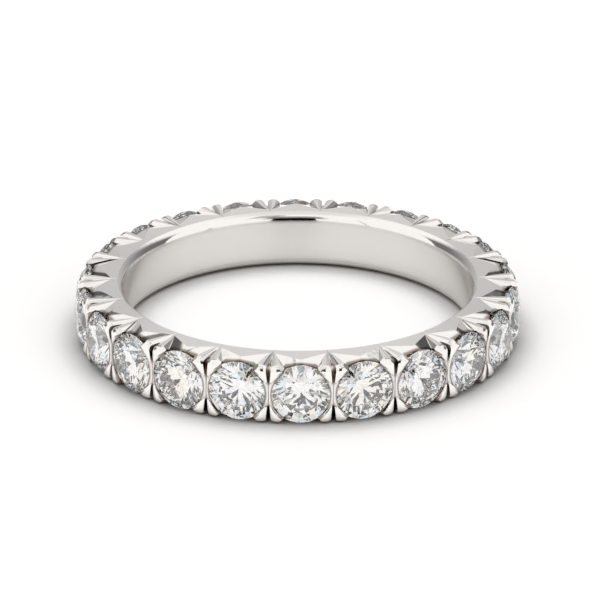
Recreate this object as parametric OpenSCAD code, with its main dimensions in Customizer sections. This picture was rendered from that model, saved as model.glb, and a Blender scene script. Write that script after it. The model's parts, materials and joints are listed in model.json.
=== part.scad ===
// Eternity ring: one cast band, set all the way round with brilliant cut stones.
// Each stone sits in a seat bored into the outside of the band, and four claws hold
// it. The claws are cut from the band's own edges: a valley and a split part the metal
// between two stones into a pair, and a cut beside them lowers it to the seat's edge.
// What is left of the side face runs out to a tongue in front of each stone.
// The ring lies on its side: the finger hole runs along Z and a side face is at Z = 0.

/* [Finger hole] */
// Diameter of the finger hole
bore_d = 16.5; // [15:0.1:21]
// How far the rounded inner edge reaches up the wall of the finger hole
edge_depth = 0.55; // [0.2:0.05:0.8]
// How far the rounded inner edge reaches across the side face
edge_width = 0.35; // [0.15:0.05:0.5]

/* [Stones] */
// Diameter of each stone
stone_d = 2.84; // [2.5:0.02:3.4]
// Least gap between the edges of two stones
stone_gap = 0.08; // [0.07:0.01:0.3]
// Width of the table, the flat top facet, as a share of the stone
table_share = 0.58; // [0.5:0.01:0.65]
// Slope of the large facets above the stone's edge, in degrees
crown_angle = 33; // [30:0.5:37]
// Slope of the large facets below the stone's edge, in degrees
pavilion_angle = 40.75; // [38:0.25:43]
// Thickness of the stone's edge where it is thickest
girdle_t = 0.08; // [0.06:0.01:0.12]

/* [Band] */
// Metal between the finger hole and the point of a stone's seat
culet_wall = 0.68; // [0.4:0.01:1]
// How far each side face stands beyond the stones
side_margin = 0.01; // [0.01:0.005:0.3]
// Clearance between a stone and its seat and claws
seat_clear = 0.03; // [0.02:0.005:0.03]
// Flat left on the side face between the inner edge and the valley between two claws
land = 0.23; // [0.1:0.01:0.4]

/* [Claws] */
// How far the metal between two stones reaches in over the edge of each
web_reach = 0.08; // [0.04:0.005:0.1]
// Metal between two stones above the roof of their seats
web_t = 0.02; // [0.01:0.005:0.05]
// Metal in a claw above the roof of its seat
claw_t = 0.17; // [0.15:0.01:0.3]
// Radius of the rounded outer edge of the claws
claw_round = 0.3; // [0.1:0.01:0.35]
// Height left at the edge of a claw's tip, above the metal between two stones
tip_h = 0.045; // [0.03:0.005:0.08]
// Width of the slope that thins a claw's tip towards its stone
tip_w = 0.13; // [0.08:0.01:0.16]
// Depth of the valley between a pair of claws, at their tips
valley_drop = 0.24; // [0.1:0.01:0.3]
// Distance from the middle of the valley to its edge on a claw's tip
valley_w = 0.32; // [0.2:0.01:0.4]
// How far the split in the valley's floor starts inside the stones' edge
split_back = 0.47; // [0.42:0.01:0.52]
// Width of the floor of the split
split_w = 0.1; // [0.08:0.01:0.14]
// Angle between the two walls of the split, in degrees
split_angle = 16; // [8:1:20]
// Slope of the split, down from the side face, in degrees
split_dip = 55; // [50:1:58]
// Distance from the middle of the split to the corner of a claw's tip
corner_w = 0.28; // [0.2:0.01:0.4]
// Height that is taken off a claw's tip beside its stone
corner_drop = 0.33; // [0.2:0.01:0.4]
// Distance from the middle of the valley to the cuts beside it, where they start
root_w = 0.12; // [0.08:0.01:0.16]
// How much further out than the valley those cuts start
root_step = 0.05; // [0.02:0.01:0.1]
// How far the tongue of the side face ends inside the stones' edge
tongue_back = 0.62; // [0.5:0.01:0.7]
// How far the open edge of a seat lies inside the stones' edge, at the tongue
rim_back = 0.32; // [0.25:0.01:0.4]
// How much further out that open edge lies beside the claws
rim_bow = 0.1; // [0.06:0.01:0.14]
// Angle between the two faces of the cut beside a tongue, in degrees
cut_angle = 105; // [95:5:120]

/* [Hidden] */
$fn = 96;
bore_r = bore_d / 2;
stone_r = stone_d / 2;
band_h = stone_d + 2 * side_margin;
half_h = band_h / 2;

// Heights along a stone's axis, from the middle of its edge
pavilion_h = stone_r * tan(pavilion_angle);
table_r = stone_r * table_share;
crown_h = (stone_r - table_r) * tan(crown_angle);
girdle_r = bore_r + culet_wall + seat_clear + pavilion_h + girdle_t / 2;

// How many stones go round, and the angle from one to the next
stone_count = floor(180 / atan((stone_d + stone_gap) / 2 / girdle_r));
pitch = 360 / stone_count;

// Seat, as a distance along the stone's axis for each radius about it
seat_r = stone_r + seat_clear;
lip_r = stone_r - web_reach;
function seat_floor(rho) = girdle_r - girdle_t / 2 - (stone_r - rho) * tan(pavilion_angle)
    - seat_clear / cos(pavilion_angle);
function seat_roof(rho) = girdle_r + girdle_t / 2 + (stone_r - rho) * tan(crown_angle)
    + seat_clear / cos(crown_angle);
web_r = seat_roof(lip_r) + web_t;
claw_r = seat_roof(lip_r) + claw_t;

// Rounded inner edge: one arc, level with the wall of the finger hole where it starts
edge_r = (edge_width * edge_width + edge_depth * edge_depth) / (2 * edge_width);

// Where the valley and the split between two claws start on the side face
valley_r = bore_r + edge_width + land;
split_r = girdle_r - split_back;

// Open edge of a seat: it bows outwards from the tongue to the claws, as shares of the
// stone's radius along the band, and of rim_bow outwards
rim_r = girdle_r - rim_back;
RIM = [[0.54, 1], [0.27, 0.3]];
rim_t = RIM[0].x * stone_r;

// Cut beside a tongue: its line runs from the claw's root to the edge of the seat, and
// its first face reaches just past the tongue's tip
root_r = valley_r + root_step;
cut_from = [root_r, root_w - root_r * tan(pitch / 2), half_h];
cut_to = [rim_r + rim_bow, -rim_t, sqrt(seat_r * seat_r - rim_t * rim_t)];
tongue_tip = [girdle_r - tongue_back, 0, half_h];
overlap = 0.03;
cut_line = cut_to - cut_from;
cut_reach = norm(cross(cut_line, tongue_tip - cut_from)) / norm(cut_line) + overlap;

// Cut that takes the corner off a claw: its line lies in the side face, and its face
// falls from there to the stone
corner_from = [cut_to.x, -rim_t - root_step, half_h];
corner_to = [claw_r, corner_w - claw_r * tan(pitch / 2), half_h];
corner_low = [claw_r, -rim_t, half_h - corner_drop];

// Outline of a claw's tip, as shares of the stone's radius: along the band, and up it
CLAW_TIP = [[0.54, 1.4], [0.54, 0.782], [0.7, 0.642], [0.96, 0.4], [1.2, 0.36]];

// Slope on a claw's tip: it starts on this outline and rises to the claw's outer face
tip_top = CLAW_TIP[1] * stone_r;
tip_end = CLAW_TIP[3] * stone_r;
tip_line = (tip_top - tip_end) / norm(tip_top - tip_end);
slope_from = [web_r + tip_h, -tip_end.x, tip_end.y];
slope_to = [web_r + tip_h, -tip_top.x, tip_top.y];
slope_top = [claw_r, -tip_end.x - tip_line.y * tip_w, tip_end.y - tip_line.x * tip_w];
slope_past = 0.2;

// How far cutting shapes run past the metal
past = 1;

function stone_name(i) = str("stone_", i < 10 ? "0" : "", i);

// Puts a shape at place k round the ring: X points outwards, and Z = 0 is mid height
module at_place(k) {
    translate([0, 0, half_h]) rotate([0, 0, k * pitch - 90]) children();
}

// The same shape at the upper and the lower edge of the band
module both_edges() {
    children();
    mirror([0, 0, 1]) children();
}

// The same points on the other side of the X axis, in the opposite order
function flipped(points) = [for (i = [len(points) - 1:-1:0]) [points[i].x, -points[i].y]];

module band_section() {
    difference() {
        union() {
            translate([bore_r, 0]) square([claw_r - claw_round - bore_r, band_h]);
            translate([bore_r, claw_round]) square([claw_r - bore_r, band_h - 2 * claw_round]);
            for (z = [claw_round, band_h - claw_round]) translate([claw_r - claw_round, z])
                circle(claw_round);
        }
        for (side = [0, 1]) translate([bore_r, side * band_h]) mirror([0, side])
            difference() {
                translate([-past, -past]) square([past + edge_width, past + edge_depth]);
                translate([edge_r, edge_depth]) circle(edge_r);
            }
    }
}

// Bored seat: a cone under the stone, a step for its edge, and a lip over its crown
module seat() {
    rotate([0, 90, 0]) rotate_extrude() polygon([
        [0, seat_floor(0)],
        [seat_r, seat_floor(seat_r)],
        [seat_r, seat_roof(seat_r)],
        [lip_r, seat_roof(lip_r)],
        [lip_r, web_r + past],
        [0, web_r + past],
    ]);
}

// Opens the seat at its two tongues, between the claws
module seat_relief() {
    edge = [for (point = RIM) [rim_r + point.y * rim_bow, point.x * stone_r]];
    half = concat([[claw_r + past, rim_t]], edge);
    linear_extrude(height = band_h + 2 * past, center = true)
        polygon(concat(half, [[rim_r, 0]], flipped(half)));
}

// Frees the four claws of a stone from each other, above the metal between the stones
module claw_opening() {
    quarter = CLAW_TIP * stone_r;
    half = concat(quarter, flipped(quarter));
    translate([web_r, 0, 0]) rotate([90, 0, 90]) linear_extrude(height = claw_t + past)
        polygon(concat(half, -half));
}

// A straight cut with two flat faces that meet on a line: x runs along the first face
// from that line towards a point, y is square to it, and z runs along the line
module flat_cut(from, to, towards) {
    along = (to - from) / norm(to - from);
    rise = cross(along, towards - from);
    normal = rise / norm(rise);
    across = cross(normal, along);
    multmatrix([
        [across.x, normal.x, along.x, from.x],
        [across.y, normal.y, along.y, from.y],
        [across.z, normal.z, along.z, from.z],
        [0, 0, 0, 1],
    ]) children();
}

// Cut beside a tongue: one face falls from the tongue, the other rises to the claw
module tongue_cut() {
    far = 2 * past;
    flat_cut(cut_from, cut_to, tongue_tip)
        translate([0, 0, -past]) linear_extrude(height = norm(cut_line) + 2 * past) polygon([
            [0, 0],
            [cut_reach, 0],
            [cut_reach, far],
            [far / tan(cut_angle), far],
        ]);
}

// Takes off what lies above one flat face: the face reaches that far behind its line,
// and the cut runs on by that much before the line's start and after its end
module plane_cut(from, to, towards, behind, before, after) {
    flat_cut(from, to, towards)
        translate([-behind, 0, -before]) linear_extrude(height = norm(to - from) + before + after)
            square([behind + past / 2, past / 2]);
}

// Takes the corner off a claw's tip, from its back at the side face down to its stone
module corner_cut() {
    plane_cut(corner_from, corner_to, corner_low, past / 2, 0, past);
}

// Thins a claw's tip towards its stone
module tip_cut() {
    plane_cut(slope_from, slope_to, slope_top, overlap, slope_past, slope_past);
}

// A straight groove that starts in the side face, that far from the ring's axis, and falls
// outwards: its section is drawn with X down and Y across
module groove(start, dip, length) {
    translate([start, 0, half_h]) rotate([0, 90 + dip, 0])
        translate([0, 0, -past]) linear_extrude(height = past + length) children();
}

// Valley between a pair of claws
module valley() {
    run = claw_r - valley_r;
    dip = atan(valley_drop / run);
    top_half = past * valley_w / (valley_drop * cos(dip));
    groove(valley_r, dip, run / cos(dip) + past)
        polygon([[0, 0], [-past, -top_half], [-past, top_half]]);
}

// Parts a pair of claws, and runs out on the metal between the stones
module split() {
    floor_half = split_w / 2;
    top_half = floor_half + half_h * tan(split_angle / 2);
    groove(split_r, split_dip, half_h / sin(split_dip))
        polygon([[0, floor_half], [0, -floor_half], [-half_h, -top_half], [-half_h, top_half]]);
}

module band() {
    color([0.84, 0.82, 0.8]) difference() {
        rotate_extrude() band_section();
        for (k = [0:stone_count - 1]) {
            at_place(k) seat();
            at_place(k) seat_relief();
            at_place(k) claw_opening();
            at_place(k) both_edges() tongue_cut();
            at_place(k) both_edges() mirror([0, 1, 0]) tongue_cut();
            at_place(k) both_edges() corner_cut();
            at_place(k) both_edges() mirror([0, 1, 0]) corner_cut();
            at_place(k) both_edges() tip_cut();
            at_place(k) both_edges() mirror([0, 1, 0]) tip_cut();
            at_place(k + 0.5) both_edges() valley();
            at_place(k + 0.5) both_edges() split();
        }
    }
}

// Shares of the stone's radius where the small facets meet
star_share = (table_share * cos(22.5) + 1) / 2;
lower_share = 0.23;

function ring_point(share, angle, z) = [share * stone_r * cos(angle), share * stone_r * sin(angle), z];
function turned(face) = [for (i = [len(face) - 1:-1:0]) face[i]];

// Round brilliant: table, 8 stars, 8 bezels, 16 upper halves, edge, 16 lower halves, 8 mains
module brilliant() {
    half_t = girdle_t / 2;
    star_z = half_t + stone_r * (1 - star_share * cos(22.5)) * tan(crown_angle);
    lower_z = -half_t - stone_r * (1 - lower_share * cos(22.5)) * tan(pavilion_angle);
    bulge = 1 / cos(11.25) - 1;
    dip = bulge * (star_z - half_t) / (1 - star_share);
    lift = bulge * (-half_t - lower_z) / (1 - lower_share);

    table_0 = 0;
    star_0 = 8;
    top_0 = 16;
    under_0 = 48;
    lower_0 = 80;
    culet = 88;
    points = concat(
        [for (i = [0:7]) ring_point(table_share, 45 * i, half_t + crown_h)],
        [for (i = [0:7]) ring_point(star_share, 45 * i + 22.5, star_z)],
        [for (j = [0:31]) ring_point(1, 11.25 * j, half_t - (j % 2) * dip)],
        [for (j = [0:31]) ring_point(1, 11.25 * j, -half_t + (j % 2) * lift)],
        [for (i = [0:7]) ring_point(lower_share, 45 * i + 22.5, lower_z)],
        [[0, 0, -half_t - pavilion_h]]
    );
    faces = concat(
        [[for (i = [0:7]) table_0 + i]],
        [for (i = [0:7]) [table_0 + i, star_0 + i, table_0 + (i + 1) % 8]],
        [for (i = [0:7]) [table_0 + i, star_0 + (i + 7) % 8, top_0 + 4 * i, star_0 + i]],
        [for (i = [0:7], s = [0, 2]) [star_0 + i, for (j = [0:2]) top_0 + (4 * i + s + j) % 32]],
        [for (j = [0:31]) [under_0 + j, under_0 + (j + 1) % 32, top_0 + (j + 1) % 32, top_0 + j]],
        [for (i = [0:7], s = [0, 2]) [lower_0 + i, for (j = [2:-1:0]) under_0 + (4 * i + s + j) % 32]],
        [for (i = [0:7]) [culet, lower_0 + i, under_0 + 4 * i, lower_0 + (i + 7) % 8]]
    );
    polyhedron(points, [for (face = faces) turned(face)]);
}

// Each stone is set with its facets turned a little differently
turn_step = 17;

module stone(i) {
    color([0.92, 0.96, 1]) at_place(i - 1) translate([girdle_r, 0, 0]) rotate([0, 90, 0])
        rotate([0, 0, turn_step * i]) brilliant();
}

band();
for (i = [1:stone_count]) stone(i);
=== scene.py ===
import json
import math

import bmesh
import bpy
from mathutils import Matrix, Vector
from mathutils.geometry import intersect_point_line


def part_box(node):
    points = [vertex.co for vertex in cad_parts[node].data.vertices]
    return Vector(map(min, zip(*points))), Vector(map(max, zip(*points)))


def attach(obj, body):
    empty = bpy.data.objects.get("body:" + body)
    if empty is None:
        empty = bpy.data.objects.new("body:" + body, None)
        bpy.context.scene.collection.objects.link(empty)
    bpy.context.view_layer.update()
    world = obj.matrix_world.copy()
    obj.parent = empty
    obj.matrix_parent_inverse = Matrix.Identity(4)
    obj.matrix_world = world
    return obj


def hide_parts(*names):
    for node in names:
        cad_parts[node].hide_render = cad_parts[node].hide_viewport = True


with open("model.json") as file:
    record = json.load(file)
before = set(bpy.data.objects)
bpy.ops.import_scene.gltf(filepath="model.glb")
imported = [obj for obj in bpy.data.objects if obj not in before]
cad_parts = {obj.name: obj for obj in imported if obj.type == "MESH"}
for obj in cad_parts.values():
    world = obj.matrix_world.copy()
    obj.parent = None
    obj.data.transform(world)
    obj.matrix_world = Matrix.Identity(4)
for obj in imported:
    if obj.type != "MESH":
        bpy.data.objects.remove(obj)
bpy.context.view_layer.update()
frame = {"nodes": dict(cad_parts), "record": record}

# Camera
# A long lens on a tripod, far off and about 23 degrees above the ring's plane, as in the
# photo. It is turned a little round the ring, and leans a little to one side.
mm = 0.001
view_height = math.radians(23.15)
view_distance = 178.14 * mm
view_turn = math.radians(-0.912)
view_roll = math.radians(0.165)
aim = Vector((0.11, 0, 1.706)) * mm
photo_width = 600
focal_px = 3716

camera = bpy.data.objects.new("camera", bpy.data.cameras.new("camera"))
bpy.context.scene.collection.objects.link(camera)
camera.data.sensor_width = 36
camera.data.lens = focal_px / photo_width * camera.data.sensor_width
camera.data.clip_start = 0.01
back = Vector((0, -math.cos(view_height), math.sin(view_height)))
right = Vector((1, 0, 0))
level = Matrix((right, back.cross(right), back)).transposed().to_4x4()
looking = level @ Matrix.Rotation(view_roll, 4, "Z")
camera.matrix_world = (
    Matrix.Rotation(view_turn, 4, "Z") @ Matrix.Translation(aim + view_distance * back) @ looking
)
bpy.context.scene.camera = camera

# Studio light
# A white light tent that is open at the back, in front of a dim room. The polished metal
# and the stones mirror its edges, the gap for the camera and the seams in its walls.
# Angles are in degrees: round from the front, and above the floor.


class Sock:
    """A shader socket that does arithmetic, one Math node at a time."""

    def __init__(self, socket):
        self.socket = socket
        self.tree = socket.id_data

    def node(self, kind, inputs=None, output=0, **settings):
        return add_node(self.tree, kind, inputs, output, **settings)

    def math(self, operation, *inputs):
        """A Math node on these inputs, or else on this socket alone."""
        return self.node("ShaderNodeMath", dict(enumerate(inputs or (self,))), operation=operation)

    def __add__(self, other):
        return self.math("ADD", self, other)

    __radd__ = __add__

    def __sub__(self, other):
        return self.math("SUBTRACT", self, other)

    def __rsub__(self, other):
        return self.math("SUBTRACT", other, self)

    def __mul__(self, other):
        return self.math("MULTIPLY", self, other)

    __rmul__ = __mul__

    def __truediv__(self, other):
        return self.math("DIVIDE", self, other)

    def __abs__(self):
        return self.math("ABSOLUTE")

    def step(self, low, high):
        """0 below low and 1 above high, with a smooth rise between them."""
        return self.node("ShaderNodeMapRange", {"Value": self, "From Min": low, "From Max": high},
                         interpolation_type="SMOOTHSTEP")

    def between(self, low, high, soft):
        """1 between low and high, with soft edges."""
        return self.step(low - soft, low + soft) * (1 - self.step(high - soft, high + soft))

    def xyz(self):
        """The three parts of a vector."""
        parts = self.node("ShaderNodeSeparateXYZ", {0: self})
        return [Sock(out) for out in parts.socket.node.outputs]


def add_node(tree, kind, inputs=None, output=0, **settings):
    """Adds a node of that kind, sets its settings and then its inputs, and gives one output."""
    made = tree.nodes.new(kind)
    for name, value in settings.items():
        setattr(made, name, value)
    for name, value in (inputs or {}).items():
        if isinstance(value, Sock):
            tree.links.new(value.socket, made.inputs[name])
        else:
            made.inputs[name].default_value = value
    return Sock(made.outputs[output]) if made.outputs else made


def dimmed(light, patches):
    """Darkens patches of the light. Each has its two sides and their blur, its bottom and
    top and their blur, and the share of the light that it takes."""
    for start, stop, side_blur, low, high, blur, depth in patches:
        patch = round_angle.between(start, stop, side_blur) * up_angle.between(low, high, blur)
        light = light * (1 - patch * depth)
    return light


world = bpy.data.worlds.new("studio")
bpy.context.scene.world = world
world.use_nodes = True
sky = world.node_tree
sky.nodes.clear()
sx, sy, sz = add_node(sky, "ShaderNodeTexCoord", output="Generated").xyz()
round_angle = sx.math("ARCTAN2", sx, 0 - sy) * (180 / math.pi)
up_angle = sz.math("ARCSINE") * (180 / math.pi)

roof = 1 - 0.2 * up_angle.step(60, 80)
tent = dimmed(roof, (
    (-13, 17, 0.6, 1, 35, 1.5, 1),  # gap for the camera
    (-20, 23, 5, 30, 50, 5, 0.72),  # the camera's shade on the wall above the gap
    (12, 38, 6, 45, 65, 5, 0.5),  # fold in the roof
    (-49, -46, 0.5, -15, 45, 3, 0.3),  # seam on the left
    (58, 61, 0.5, -15, 16, 3, 0.7),  # seam on the right
))
far_wall = 0.16 + 0.44 * abs(round_angle).step(112, 180)
table_glow = 0.45
near_floor = 1 - up_angle.step(3, 11)
room = far_wall * (1 - near_floor) + table_glow * near_floor
open_back = (1 - round_angle.between(-102, 96, 1)) * (1 - up_angle.step(28, 43))
light = dimmed(tent * (1 - open_back) + room * open_back, (
    (-166, -156, 2, 27, 39, 2, 0.85),  # frame of the opening on the left
    (156, 166, 2, 27, 39, 2, 0.85),  # and on the right
    (-173, -167, 1, 49, 54, 1, 0.8),  # clip above it
))
lamp_white = (1, 0.99, 0.975, 1)
background = add_node(sky, "ShaderNodeBackground", {"Color": lamp_white, "Strength": light})
add_node(sky, "ShaderNodeOutputWorld", {"Surface": background})

# Floor
# A plain white table top, wide enough to fill the view. It glows a little of its own,
# and a painted shadow darkens its colour and its glow where the ring stands on it.


def blend(tree, share, first, second):
    """A colour from first to second, as share goes from 0 to 1."""
    mixed = add_node(tree, "ShaderNodeMix", data_type="RGBA").socket.node
    for name, value in (("Factor", share), ("A", first), ("B", second)):
        socket = next(s for s in mixed.inputs if s.name == name and s.enabled)
        if isinstance(value, Sock):
            tree.links.new(value.socket, socket)
        else:
            socket.default_value = value
    return Sock(next(s for s in mixed.outputs if s.enabled))


def add_links(tree, shader, inputs):
    """Links the sockets of a shader that vary over the surface."""
    for name, value in inputs.items():
        tree.links.new(value.socket, shader.inputs[name])


def new_mesh(name, bm):
    """Makes an object of a finished bmesh."""
    mesh = bpy.data.meshes.new(name)
    bm.to_mesh(mesh)
    bm.free()
    made = bpy.data.objects.new(name, mesh)
    bpy.context.scene.collection.objects.link(made)
    return made


floor_bm = bmesh.new()
bmesh.ops.create_grid(floor_bm, x_segments=1, y_segments=1, size=1)
floor = new_mesh("floor", floor_bm)

pale = bpy.data.materials.new("pale_table")
pale.use_nodes = True
pale_tree = pale.node_tree
paint = pale_tree.nodes["Principled BSDF"]
# Painted shadow: the floor's colour and glow turn darker where the ring closes off the open air
shade_reach = 2.2 * mm
in_the_open = add_node(pale_tree, "ShaderNodeAmbientOcclusion", {"Distance": shade_reach},
                       output="AO", samples=16)
grain = add_node(pale_tree, "ShaderNodeTexNoise", {"Scale": 900, "Detail": 2}) * 0.02 + 0.98
out_of_painted_shadow = in_the_open.step(0.28, 0.92) * grain
add_links(pale_tree, paint, {
    "Base Color": blend(pale_tree, out_of_painted_shadow, (0.5, 0.49, 0.48, 1), (0.98, 0.98, 0.98, 1)),
    "Emission Color": blend(pale_tree, out_of_painted_shadow, (0, 0, 0, 1), (1, 1, 1, 1)),
})
paint.inputs["Roughness"].default_value = 0.6
paint.inputs["Emission Strength"].default_value = 0.27
paint.inputs["Specular IOR Level"].default_value = 0.2
floor.data.materials.append(pale)

# Band
# One cast ring of white gold. Its edges are cut into claws at the bench, two at each side
# of a stone, and what is left of the side face runs out to a tongue in front of it.

# It is made in millimetres as one corner: from the middle of a stone to the middle of the
# gap beside it, above the band's mid height. X points out through the stone.
band_low, band_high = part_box("band")
half_h = (band_high.z - band_low.z) / 2 / mm
mounts = {mount["name"]: mount for mount in frame["record"]["mounts"]}
bore_r = mounts["finger_hole"]["dims"]["r_mm"]
stone_names = sorted(name for name in frame["nodes"] if name.startswith("stone"))
pitch = 2 * math.pi / len(stone_names)
stone_r = 1.42
girdle_r = 10.224
girdle_t = 0.08
seat_clear = 0.03
crown_angle = math.radians(33)
pavilion_angle = math.radians(40.75)
edge_depth = 0.55
edge_width = 0.35
claw_round = 0.3
web_r = 10.371
claw_r = 10.521
past = 1  # how far the cutters reach past the metal


def arc(cx, cy, r, start, stop, steps):
    """Points on an arc, in degrees."""
    angles = [math.radians(start + (stop - start) * i / steps) for i in range(steps + 1)]
    return [(cx + r * math.cos(a), cy + r * math.sin(a)) for a in angles]


def prism(name, outline, depth, place):
    """A straight bar of that outline, from z = 0 to depth, put in its place."""
    bm = bmesh.new()
    face = bm.faces.new([bm.verts.new((x, y, 0)) for x, y in outline])
    grown = bmesh.ops.extrude_face_region(bm, geom=[face])["geom"]
    top = [part for part in grown if isinstance(part, bmesh.types.BMVert)]
    bmesh.ops.translate(bm, vec=(0, 0, depth), verts=top)
    bmesh.ops.transform(bm, matrix=place, verts=bm.verts)
    bmesh.ops.recalc_face_normals(bm, faces=bm.faces)
    return new_mesh(name, bm)


def along(start, stop, towards):
    """A place whose Z runs from start to stop, and whose X points towards a point."""
    z = (stop - start).normalized()
    y = z.cross(towards - start).normalized()
    return Matrix.Translation(start) @ Matrix((y.cross(z), y, z)).transposed().to_4x4()


# Blank: the band's section, turned through half a pitch
edge_r = (edge_width ** 2 + edge_depth ** 2) / (2 * edge_width)
edge_end = 180 - math.degrees(math.asin(edge_depth / edge_r))
section = [(bore_r, 0)] + arc(bore_r + edge_r, half_h - edge_depth, edge_r, 180, edge_end, 8)
section += arc(claw_r - claw_round, half_h - claw_round, claw_round, 90, 0, 8) + [(claw_r, 0)]
blank_bm = bmesh.new()
blank_face = blank_bm.faces.new([blank_bm.verts.new((x, 0, z)) for x, z in section])
bmesh.ops.spin(blank_bm, geom=[blank_face], cent=(0, 0, 0), axis=(0, 0, 1), angle=pitch / 2,
               steps=6)
bmesh.ops.recalc_face_normals(blank_bm, faces=blank_bm.faces)
corner = new_mesh("corner", blank_bm)

# Seat: cone, step for the stone's edge, and lip
seat_r = stone_r + seat_clear
lip_r = stone_r - 0.08
seat_top = girdle_r + girdle_t / 2 + seat_clear / math.cos(crown_angle)
seat_low = girdle_r - girdle_t / 2 - seat_clear / math.cos(pavilion_angle)
seat_outline = [
    (0, seat_low - stone_r * math.tan(pavilion_angle)),
    (seat_r, seat_low + (seat_r - stone_r) * math.tan(pavilion_angle)),
    (seat_r, seat_top - seat_clear * math.tan(crown_angle)),
    (lip_r, seat_top + (stone_r - lip_r) * math.tan(crown_angle)),
    (lip_r, web_r + past),
    (0, web_r + past),
]
seat_bm = bmesh.new()
profile = [seat_bm.verts.new((x, y, 0)) for y, x in seat_outline]
sides = [seat_bm.edges.new(pair) for pair in zip(profile, profile[1:])]
bmesh.ops.spin(seat_bm, geom=profile + sides, cent=(0, 0, 0), axis=(1, 0, 0), angle=2 * math.pi,
               steps=96, use_merge=True)
bmesh.ops.remove_doubles(seat_bm, verts=seat_bm.verts, dist=1e-5)
bmesh.ops.recalc_face_normals(seat_bm, faces=seat_bm.faces)
seat = new_mesh("seat", seat_bm)

# Relief: where the seat opens in front of the tongue
rim_r = girdle_r - 0.32
rim_t = 0.54 * stone_r
rim_bow = 0.1
relief = prism("relief", [
    (rim_r, -rim_t / 4), (rim_r, 0), (rim_r + 0.3 * rim_bow, rim_t / 2),
    (rim_r + rim_bow, rim_t), (claw_r + past, rim_t), (claw_r + past, -rim_t / 4),
], half_h + 2 * past, Matrix.Translation((0, 0, -past)))

# Opening: all that lies outside the outline of a claw's tip, above the strip of metal
# between two stones. Its first five points are the tip's own, in stone radii.
tip = [(0.54, 1.4), (0.54, 0.782), (0.7, 0.642), (0.96, 0.4), (1.2, 0.36)]
opening_outline = tip + [(1.2, -0.2), (-0.2, -0.2), (-0.2, 1.4)]
outwards = Matrix(((0, 0, 1), (1, 0, 0), (0, 1, 0))).to_4x4()
opening = prism("opening", [(x * stone_r, y * stone_r) for x, y in opening_outline], past,
                Matrix.Translation((web_r, 0, 0)) @ outwards)

# Cut beside the tongue: one face falls from the tongue, the other rises to the claw
split_r = bore_r + edge_width + 0.23
root_r = split_r + 0.05
root_w = 0.12
gap = math.tan(pitch / 2)
cut_from = Vector((root_r, root_r * gap - root_w, half_h))
cut_to = Vector((rim_r + rim_bow, rim_t, math.sqrt(seat_r ** 2 - rim_t ** 2)))
tongue = Vector((girdle_r - 0.62, 0, half_h))
cut_line = (cut_to - cut_from).normalized()
reach = cut_line.cross(tongue - cut_from).length + 0.03
cut = prism("cut", [(0, 0), (reach, 0), (reach, -2), (-0.19, -0.3), (-0.02, -0.08)], 3 * past,
            along(cut_from, cut_to, tongue) @ Matrix.Translation((0, 0, -past)))

# Nib: the cut that takes the corner off the claw
corner_w = 0.27
corner_drop = 0.33
corner_from = Vector((cut_to.x, rim_t + 0.05, half_h))
corner_to = Vector((claw_r, claw_r * gap - corner_w, half_h))
corner_low = Vector((claw_r, rim_t, half_h - corner_drop))
nib = prism("nib", [(0, 0), (past, 0), (past, -past), (-past, -past), (-past, 0)], 2 * past,
            along(corner_from, corner_to, corner_low))

# Split between the two claws of a pair: a saw cut with a round floor, across the
# corner of the band
saw_r = 9.75
saw_w = 0.05
saw_lean = math.tan(math.radians(8))
saw_dip = math.radians(55)
wide = saw_w + half_h * saw_lean
split_place = (
    Matrix.Rotation(pitch / 2, 4, "Z") @ Matrix.Translation((saw_r, 0, half_h))
    @ Matrix.Rotation(math.pi / 2 + saw_dip, 4, "Y") @ Matrix.Translation((0, 0, -past))
)
split = prism("split", arc(-saw_w, 0, saw_w, -90, 90, 8) + [(-half_h, wide), (-half_h, -wide)],
              past + half_h / math.sin(saw_dip), split_place)


def put_in_order(bm):
    """Sorts the points, edges and faces by place, because the cuts leave them in any order."""
    for parts in (bm.verts, bm.edges, bm.faces):
        ordered = sorted(parts, key=lambda p: sorted(v.co[:] for v in getattr(p, "verts", [p])))
        for number, part in enumerate(ordered):
            part.index = number
        parts.sort()


cutters = (seat, relief, opening, cut, nib, split)
for cutter in cutters:
    modifier = corner.modifiers.new(cutter.name, "BOOLEAN")
    modifier.operation = "DIFFERENCE"
    modifier.object = cutter
    modifier.solver = "EXACT"
bpy.context.view_layer.update()
band_bm = bmesh.new()
band_bm.from_object(corner, bpy.context.evaluated_depsgraph_get())
for scrap in (corner, *cutters):
    bpy.data.objects.remove(scrap)
put_in_order(band_bm)
bmesh.ops.remove_doubles(band_bm, verts=band_bm.verts, dist=2e-4)
bmesh.ops.dissolve_limit(band_bm, angle_limit=math.radians(0.2), verts=band_bm.verts,
                         edges=band_bm.edges)
band_bm.normal_update()

# Each face of the corner is known by the cut that made it
near = 1e-4
same_way = 0.9999
split_reach = 0.25
gap_normal = Vector((-math.sin(pitch / 2), math.cos(pitch / 2), 0))
nib_normal = (corner_to - corner_from).cross(corner_low - corner_from).normalized()
cut_normal = (cut_to - cut_from).cross(tongue - cut_from).normalized()
end_normals = (gap_normal, Vector((0, 1, 0)), Vector((0, 0, 1)))


def at_end(face):
    """True where the corner will meet its own mirror image."""
    return any(all(abs(v.co.dot(n)) < near for v in face.verts) for n in end_normals)


def made_by(face):
    """The name of the cut that made a face."""
    n = face.normal
    middle = face.calc_center_median()
    middle_r = math.hypot(middle.x, middle.y)
    if at_end(face):
        return "end"
    if n.z > same_way:
        return "side"
    if abs(n.dot(nib_normal)) > same_way:
        return "nib"
    if abs(n.dot(cut_normal)) > same_way:
        return "cut"
    if (-middle.dot(gap_normal) < split_reach and middle.x > split_r
            and abs(n.dot(gap_normal)) > 0.5):
        return "split"
    if middle_r > claw_r - claw_round and n.x > 0:
        return "outside"
    if middle_r > web_r and abs(n.x) < 1e-3:
        return "tip"
    return "other"


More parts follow.
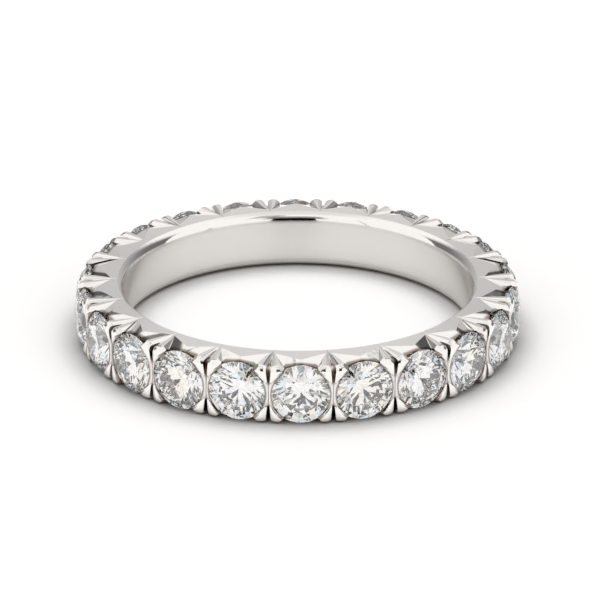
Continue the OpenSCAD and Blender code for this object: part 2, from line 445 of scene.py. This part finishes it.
def soften(first, second, width, segments):
    """Rounds the edges where faces of two cuts meet."""
    band_bm.normal_update()
    chosen = [e for e in band_bm.edges if len(e.link_faces) == 2
              and sorted(made_by(f) for f in e.link_faces) == sorted((first, second))]
    bmesh.ops.bevel(band_bm, geom=chosen, offset=width, offset_type="OFFSET", affect="EDGES",
                    segments=segments, profile=0.5, material=-1, clamp_overlap=True)


# The edges that the cuts leave stay crisp, apart from those that are rounded
crisp = math.radians(13)
for edge in band_bm.edges:
    edge.smooth = any(at_end(f) for f in edge.link_faces) or edge.calc_face_angle() < crisp
soften("nib", "side", 0.12, 4)
soften("nib", "outside", 0.07, 2)


def slice_faces(test, place, normal):
    """Cuts the faces that pass a test along a plane."""
    parts = dict.fromkeys(p for f in band_bm.faces if test(f) for p in (f, *f.edges, *f.verts))
    bmesh.ops.bisect_plane(band_bm, geom=list(parts), dist=1e-5, plane_co=place, plane_no=normal)


def on_claw(face):
    """True for the faces of a claw that stand over the strip between the stones."""
    return any(v.co.xy.length > web_r + 0.005 for v in face.verts)


def on_top(face):
    """True for the faces that make the upper side of a claw."""
    return made_by(face) in ("side", "split", "nib") and any(v.co.z > 0.9 for v in face.verts)


# Lines along the claw, from its root to its tip, and across it
gap_line = Vector((math.cos(pitch / 2), math.sin(pitch / 2), 0))
root_crest = 0.1
tip_crest = 0.4
for share in (0.12, 0.3, 0.5, 0.7, 0.85, 1, 1.2):
    root = root_r * gap_line - share * root_crest * gap_normal
    run = claw_r * gap_line - share * tip_crest * gap_normal - root
    slice_faces(lambda f: on_claw(f) or on_top(f), root, run.cross(Vector((0, 0, 1))).normalized())
for r in (8.97, 9.1, 9.3, 9.55, 9.8, 10, 10.15):
    slice_faces(on_top, r * gap_line, gap_line)

# The claws' tips are burnished over the stones: their metal thins out, in a round
# curve, towards the outline of the tip
tip_line = [Vector((x, y)) * stone_r for x, y in tip]
burnish = 0.34
thin = 0.3
for start, stop in zip(tip_line, tip_line[1:]):
    out = Vector((start.y - stop.y, stop.x - start.x)).normalized()
    for away in (0.015, 0.05, 0.1, 0.17, 0.25, burnish):
        place = start + away * out
        slice_faces(on_claw, Vector((0, place.x, place.y)), Vector((0, out.x, out.y)))


def ramp(value, low, high):
    """0 below low and 1 above high, with a smooth rise between them."""
    share = min(max((value - low) / (high - low), 0), 1)
    return share * share * (3 - 2 * share)


def tip_share(y, z):
    """How much of the claw's height is left at a point."""
    place = Vector((y, z))
    nearest = burnish
    for start, stop in zip(tip_line, tip_line[1:]):
        point, share = intersect_point_line(place, start, stop)
        point = start if share < 0 else stop if share > 1 else point
        nearest = min(nearest, (place - point).length)
    return thin + (1 - thin) * math.sqrt(1 - (1 - nearest / burnish) ** 2)


# Each claw is rounded across as well, from its crest down to the split. The round
# starts within the first quarter of the claw, and fades out down the band's side.
start_share = 0.25
fade_depth = 0.5
for vert in band_bm.verts:
    r = vert.co.xy.length
    grow = min(max((r - root_r) / (claw_r - root_r), 0), 1)
    crest = root_crest + (tip_crest - root_crest) * grow
    bend = 1.12 * crest
    inwards = min(max(crest + vert.co.dot(gap_normal), 0), crest)
    drop = (bend - math.sqrt(bend ** 2 - inwards ** 2)) * min(grow / start_share, 1)
    if r > web_r + near:
        share = tip_share(vert.co.y, vert.co.z) * (1 - drop / (claw_r - web_r) * 0.6)
        vert.co.xy *= (web_r + (r - web_r) * share) / r
    vert.co.z -= drop * ramp(vert.co.z, half_h - fade_depth, half_h)

# The corner is cleaned of the slivers that the cuts leave, mirrored up, down and sideways,
# and then repeated round the ring
bmesh.ops.delete(band_bm, geom=[f for f in band_bm.faces if at_end(f)], context="FACES")
put_in_order(band_bm)
bmesh.ops.remove_doubles(band_bm, verts=band_bm.verts, dist=2e-4)
for axis in ("Y", "Z"):
    bmesh.ops.mirror(band_bm, geom=band_bm.verts[:] + band_bm.edges[:] + band_bm.faces[:],
                     matrix=Matrix.Identity(4), merge_dist=1e-5, axis=axis)
bmesh.ops.translate(band_bm, vec=(0, 0, half_h), verts=band_bm.verts)
bmesh.ops.rotate(band_bm, cent=(0, 0, 0), matrix=Matrix.Rotation(-math.pi / 2, 3, "Z"),
                 verts=band_bm.verts)
bmesh.ops.spin(band_bm, geom=band_bm.verts[:] + band_bm.edges[:] + band_bm.faces[:],
               cent=(0, 0, 0), axis=(0, 0, 1), angle=2 * math.pi, steps=len(stone_names),
               use_duplicate=True)
bmesh.ops.remove_doubles(band_bm, verts=band_bm.verts, dist=1e-4)
bmesh.ops.recalc_face_normals(band_bm, faces=band_bm.faces)
for edge in band_bm.edges:
    if edge.calc_face_angle() > 2.5 * crisp:
        edge.smooth = False
bmesh.ops.scale(band_bm, vec=(mm, mm, mm), verts=band_bm.verts)
band = new_mesh("band_metal", band_bm)

# The wall of the finger hole and the side faces keep the fine turned lines of the lathe,
# and the rounded edges and the claws are polished. Painted shade darkens the corners
# and the seams round the stones.
gold = bpy.data.materials.new("white_gold")
gold.use_nodes = True
gold_tree = gold.node_tree
metal = gold_tree.nodes["Principled BSDF"]
bright_gold = (0.96, 0.945, 0.925, 1)
warm_gold = (0.925, 0.905, 0.88, 1)
turned_gold = (0.78, 0.76, 0.735, 1)
corner_shade_brown = (0.2, 0.145, 0.1, 1)
seam_shade_brown = (0.2, 0.155, 0.12, 1)

# Where a point lies on the band, in millimetres
place = add_node(gold_tree, "ShaderNodeTexCoord", output="Object")
x, y, z = (part / mm for part in place.xyz())
radius = x.math("SQRT", x * x + y * y)
height = abs(z - half_h)
angle = y.math("ARCTAN2", y, x)
turn = angle / pitch + 0.25 * len(stone_names)
turn = (turn - turn.math("ROUND")) * pitch
across = radius * turn.math("SINE")
from_stone = across.math("SQRT", across * across + height * height)
upright = abs(add_node(gold_tree, "ShaderNodeNewGeometry", output="Normal").xyz()[2])
outer = radius.step(9.9, 10.1)

# Turned and polished faces
wall = 1 - radius.step(bore_r + 0.01, bore_r + 0.05)
flat_side = upright.step(0.99, 0.9995)
turned = wall + flat_side * (1 - wall)
turning = {"X": radius * 9, "Y": angle * 2, "Z": z * 9}
lines = add_node(gold_tree, "ShaderNodeCombineXYZ", turning)
lathe = add_node(gold_tree, "ShaderNodeTexNoise", {"Vector": lines, "Scale": 1, "Detail": 3})
spots = add_node(gold_tree, "ShaderNodeCombineXYZ", {"X": x, "Y": y, "Z": z})
clouds = add_node(gold_tree, "ShaderNodeTexNoise", {"Vector": spots, "Scale": 1.4, "Detail": 2})
wobble = add_node(gold_tree, "ShaderNodeTexNoise", {"Vector": spots, "Scale": 3.2, "Detail": 1})
clean = blend(gold_tree, wall, blend(gold_tree, clouds, warm_gold, bright_gold), turned_gold)

# Painted shade: brown in the corners of the claws, and where a stone or its seat is close
# Painted shade: the metal turns brown where the occlusion test finds little open air
open_air = add_node(gold_tree, "ShaderNodeAmbientOcclusion", {"Distance": 0.3 * mm},
                    output="AO", samples=8)
no_corner_shade = 1 - outer - height.step(1.15, 1.25) * (1 - outer)
out_of_corner_shade = open_air.step(0.05, 0.65) * (1 - no_corner_shade) + no_corner_shade
# Painted shadow lines round each stone and along its seat, and painted shade on the strip between
# the stones
stone_shadow_line = (1 - from_stone.step(lip_r + 0.02, lip_r + 0.1)) * radius.step(10.15, 10.25)
strip = outer * (1 - radius.step(web_r + 0.01, web_r + 0.03)) * (1 - height.step(0.5, 1))
beside_seat = 1 - from_stone.step(seat_r + 0.01, seat_r + 0.04)
seat_shadow = beside_seat * height.step(0.9, 1.1) * radius.step(9.7, 9.9)
stone_and_seat_shade = stone_shadow_line * 0.85 + seat_shadow * (1 - stone_shadow_line) * 0.85
painted_seam_shade = stone_and_seat_shade + strip * (1 - stone_and_seat_shade) * (0.55 + 0.35 * clouds)
add_links(gold_tree, metal, {
    "Base Color": blend(gold_tree, painted_seam_shade, blend(gold_tree, out_of_corner_shade, corner_shade_brown, clean), seam_shade_brown),
    "Roughness": 0.05 + 0.03 * clouds + turned * (0.2 + 0.08 * lathe),
    "Normal": add_node(gold_tree, "ShaderNodeBump", {
        "Strength": 0.6,
        "Distance": 0.002 * mm,
        "Height": lathe * turned + wobble * (1 - turned) * 2,
    }),
})
metal.inputs["Metallic"].default_value = 1
metal.inputs["Anisotropic"].default_value = 0.8
metal.inputs["Anisotropic Rotation"].default_value = 0.25
band.data.materials.append(gold)
band.data.shade_smooth()
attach(band, "root")
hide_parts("band")

# Stones
# Round brilliant cut diamonds, each with 57 polished facets, set point inwards and held at
# the edge by the claws. Each facet has its own faint painted tint, which stands in for the
# colours that the light parts into inside the stone.
diamond = bpy.data.materials.new("diamond")
diamond.use_nodes = True
gem_tree = diamond.node_tree
gem = gem_tree.nodes["Principled BSDF"]
gem.inputs["Roughness"].default_value = 0
gem.inputs["IOR"].default_value = 2.42
gem.inputs["Specular IOR Level"].default_value = 0.4
gem.inputs["Transmission Weight"].default_value = 1
white_fire = (1, 1, 1, 1)
blue_fire = (0.74, 0.86, 1, 1)
warm_fire = (1, 0.95, 0.84, 1)
# Painted fire: a faint blue tint on some facets and a warm tint on others, picked by each facet's
# facing
nx, ny, nz = add_node(gem_tree, "ShaderNodeNewGeometry", output="True Normal").xyz()
blue = (nx * 31 + ny * 47 + nz * 23).math("SINE")
warm = (nx * 19 - ny * 29 + nz * 41).math("SINE")
painted_fire = blend(gem_tree, blue.step(0.8, 0.9), white_fire, blue_fire)
painted_fire = blend(gem_tree, warm.step(0.88, 0.96), painted_fire, warm_fire)
add_links(gem_tree, gem, {"Base Color": painted_fire})
for name in stone_names:
    node = frame["nodes"][name]
    node.data.materials.clear()
    node.data.materials.append(diamond)

# Light bounces many times between the facets before it leaves a stone
bounces = 32
scene = bpy.context.scene
scene.view_settings.view_transform = "Standard"
scene.cycles.max_bounces = bounces
scene.cycles.transmission_bounces = bounces
scene.cycles.glossy_bounces = bounces
scene.cycles.sample_clamp_indirect = 10
